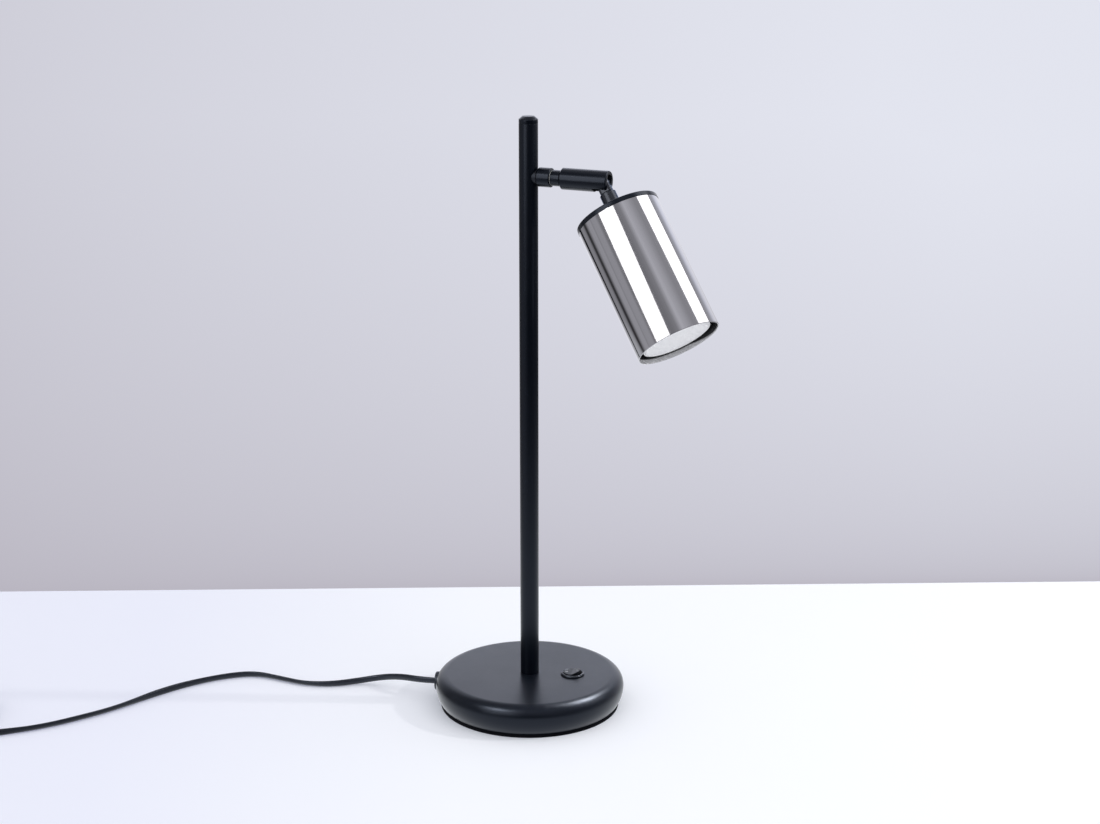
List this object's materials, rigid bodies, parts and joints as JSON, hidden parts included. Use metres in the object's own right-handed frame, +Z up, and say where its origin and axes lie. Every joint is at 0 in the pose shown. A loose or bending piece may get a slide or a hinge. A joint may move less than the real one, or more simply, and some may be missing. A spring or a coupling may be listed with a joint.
{
  "type": "desk lamp",
  "caption": "Desk spotlight with a weighted round base, slim pole, swivelling arm, tilting tubular shade, rocker switch in the base and a coiled power cord.",
  "frame": {"origin": "centre of the base's underside, on the table", "axes": "+Z up along the pole, +X along the arm towards the shade"},
  "size_m": [0.6583, 0.3112, 0.44],
  "materials": {
    "black_paint": "satin black powder coat",
    "black_paint_fine": "satin black paint on turned metal",
    "dark_steel": "dark plated steel",
    "smoked_chrome": "smoked chrome plate",
    "iron": "as cast",
    "zinc_steel": "bright zinc plate",
    "brass": "turned brass",
    "nickel": "nickel plate",
    "black_plastic": "moulded, fine grain",
    "rocker_plastic": "moulded, semi gloss",
    "black_foam": "closed cell foam",
    "clear_plastic": "translucent terminal block",
    "ceramic": "unglazed steatite",
    "lamp_white": "white lamp housing",
    "diffuser": "opal diffuser",
    "washer_plastic": "natural acetal",
    "cord_pvc": "black flexible PVC",
    "lead_blue": "insulated lead",
    "lead_brown": "insulated lead"
  },
  "bodies": {
    "stand": {"base_cover": "black_paint", "base_weight": "iron", "bottom_plate": "zinc_steel", "bottom_screws": "zinc_steel", "foot_pad": "black_foam", "pole_tube": "black_paint", "pole_cap": "black_paint", "pole_foot_insert": "zinc_steel", "foot_nipple": "zinc_steel", "foot_washer": "zinc_steel", "foot_nut": "zinc_steel", "switch_housing": "black_plastic", "switch_tabs": "brass", "cord_grommet": "black_plastic", "cord_inner": "cord_pvc", "cord_clamp": "zinc_steel", "clamp_screws": "zinc_steel", "terminal_block": "clear_plastic", "terminal_inserts": "brass", "terminal_screws": "zinc_steel", "supply_cores": "lead_brown", "neutral_lead": "lead_blue", "live_lead": "lead_brown", "feed_lead": "lead_brown", "arm_anchor": "zinc_steel", "arm_nipple": "zinc_steel", "saddle_washer": "black_plastic", "arm_collar": "black_paint_fine", "swivel_washer": "washer_plastic", "stop_pin": "zinc_steel", "wave_washer": "zinc_steel", "retaining_clip": "zinc_steel", "power_cord": "cord_pvc", "power_cord_coil": "cord_pvc", "power_cord_tail": "cord_pvc", "cord_tie": "black_plastic", "plug_body": "black_plastic", "plug_pins": "nickel"},
    "arm": {"arm_neck": "black_paint_fine", "arm_barrel": "black_paint_fine", "arm_leads": "lead_brown", "pivot_screw": "zinc_steel", "friction_washers": "washer_plastic"},
    "head": {"knuckle": "dark_steel", "shade_cap": "black_paint_fine", "shade_tube": "smoked_chrome", "holder_bracket": "zinc_steel", "head_washer": "zinc_steel", "head_nut": "zinc_steel", "holder_screws": "zinc_steel", "lampholder": "ceramic", "head_leads": "lead_brown"},
    "lamp": {"lamp_body": "lamp_white", "lamp_lens": "diffuser", "lamp_pins": "nickel"},
    "rocker": {"switch_rocker": "rocker_plastic"}
  },
  "joints": [
    {"name": "arm_swivel", "type": "hinge", "parent": "stand", "child": "arm", "pos_m": [0.0247, 0, 0.3974], "axis": [1, 0, 0], "range_deg": [-147.7, 187.3]},
    {"name": "head_tilt", "type": "hinge", "parent": "arm", "child": "head", "pos_m": [0.05515, 0, 0.3974], "axis": [0, 0.9409, -0.3387], "range_deg": [-56.3, 33.7]},
    {"name": "lamp_twist", "type": "hinge", "parent": "head", "child": "lamp", "pos_m": [0.09859, -0.02207, 0.33611], "axis": [0.5548, -0.2818, -0.7828], "range_deg": [0, 22]},
    {"name": "switch_rock", "type": "hinge", "parent": "stand", "child": "rocker", "pos_m": [0.03124, 0.00779, 0.0245], "axis": [-0.2419, 0.9703, 0], "range_deg": [0, 20]}
  ]
}
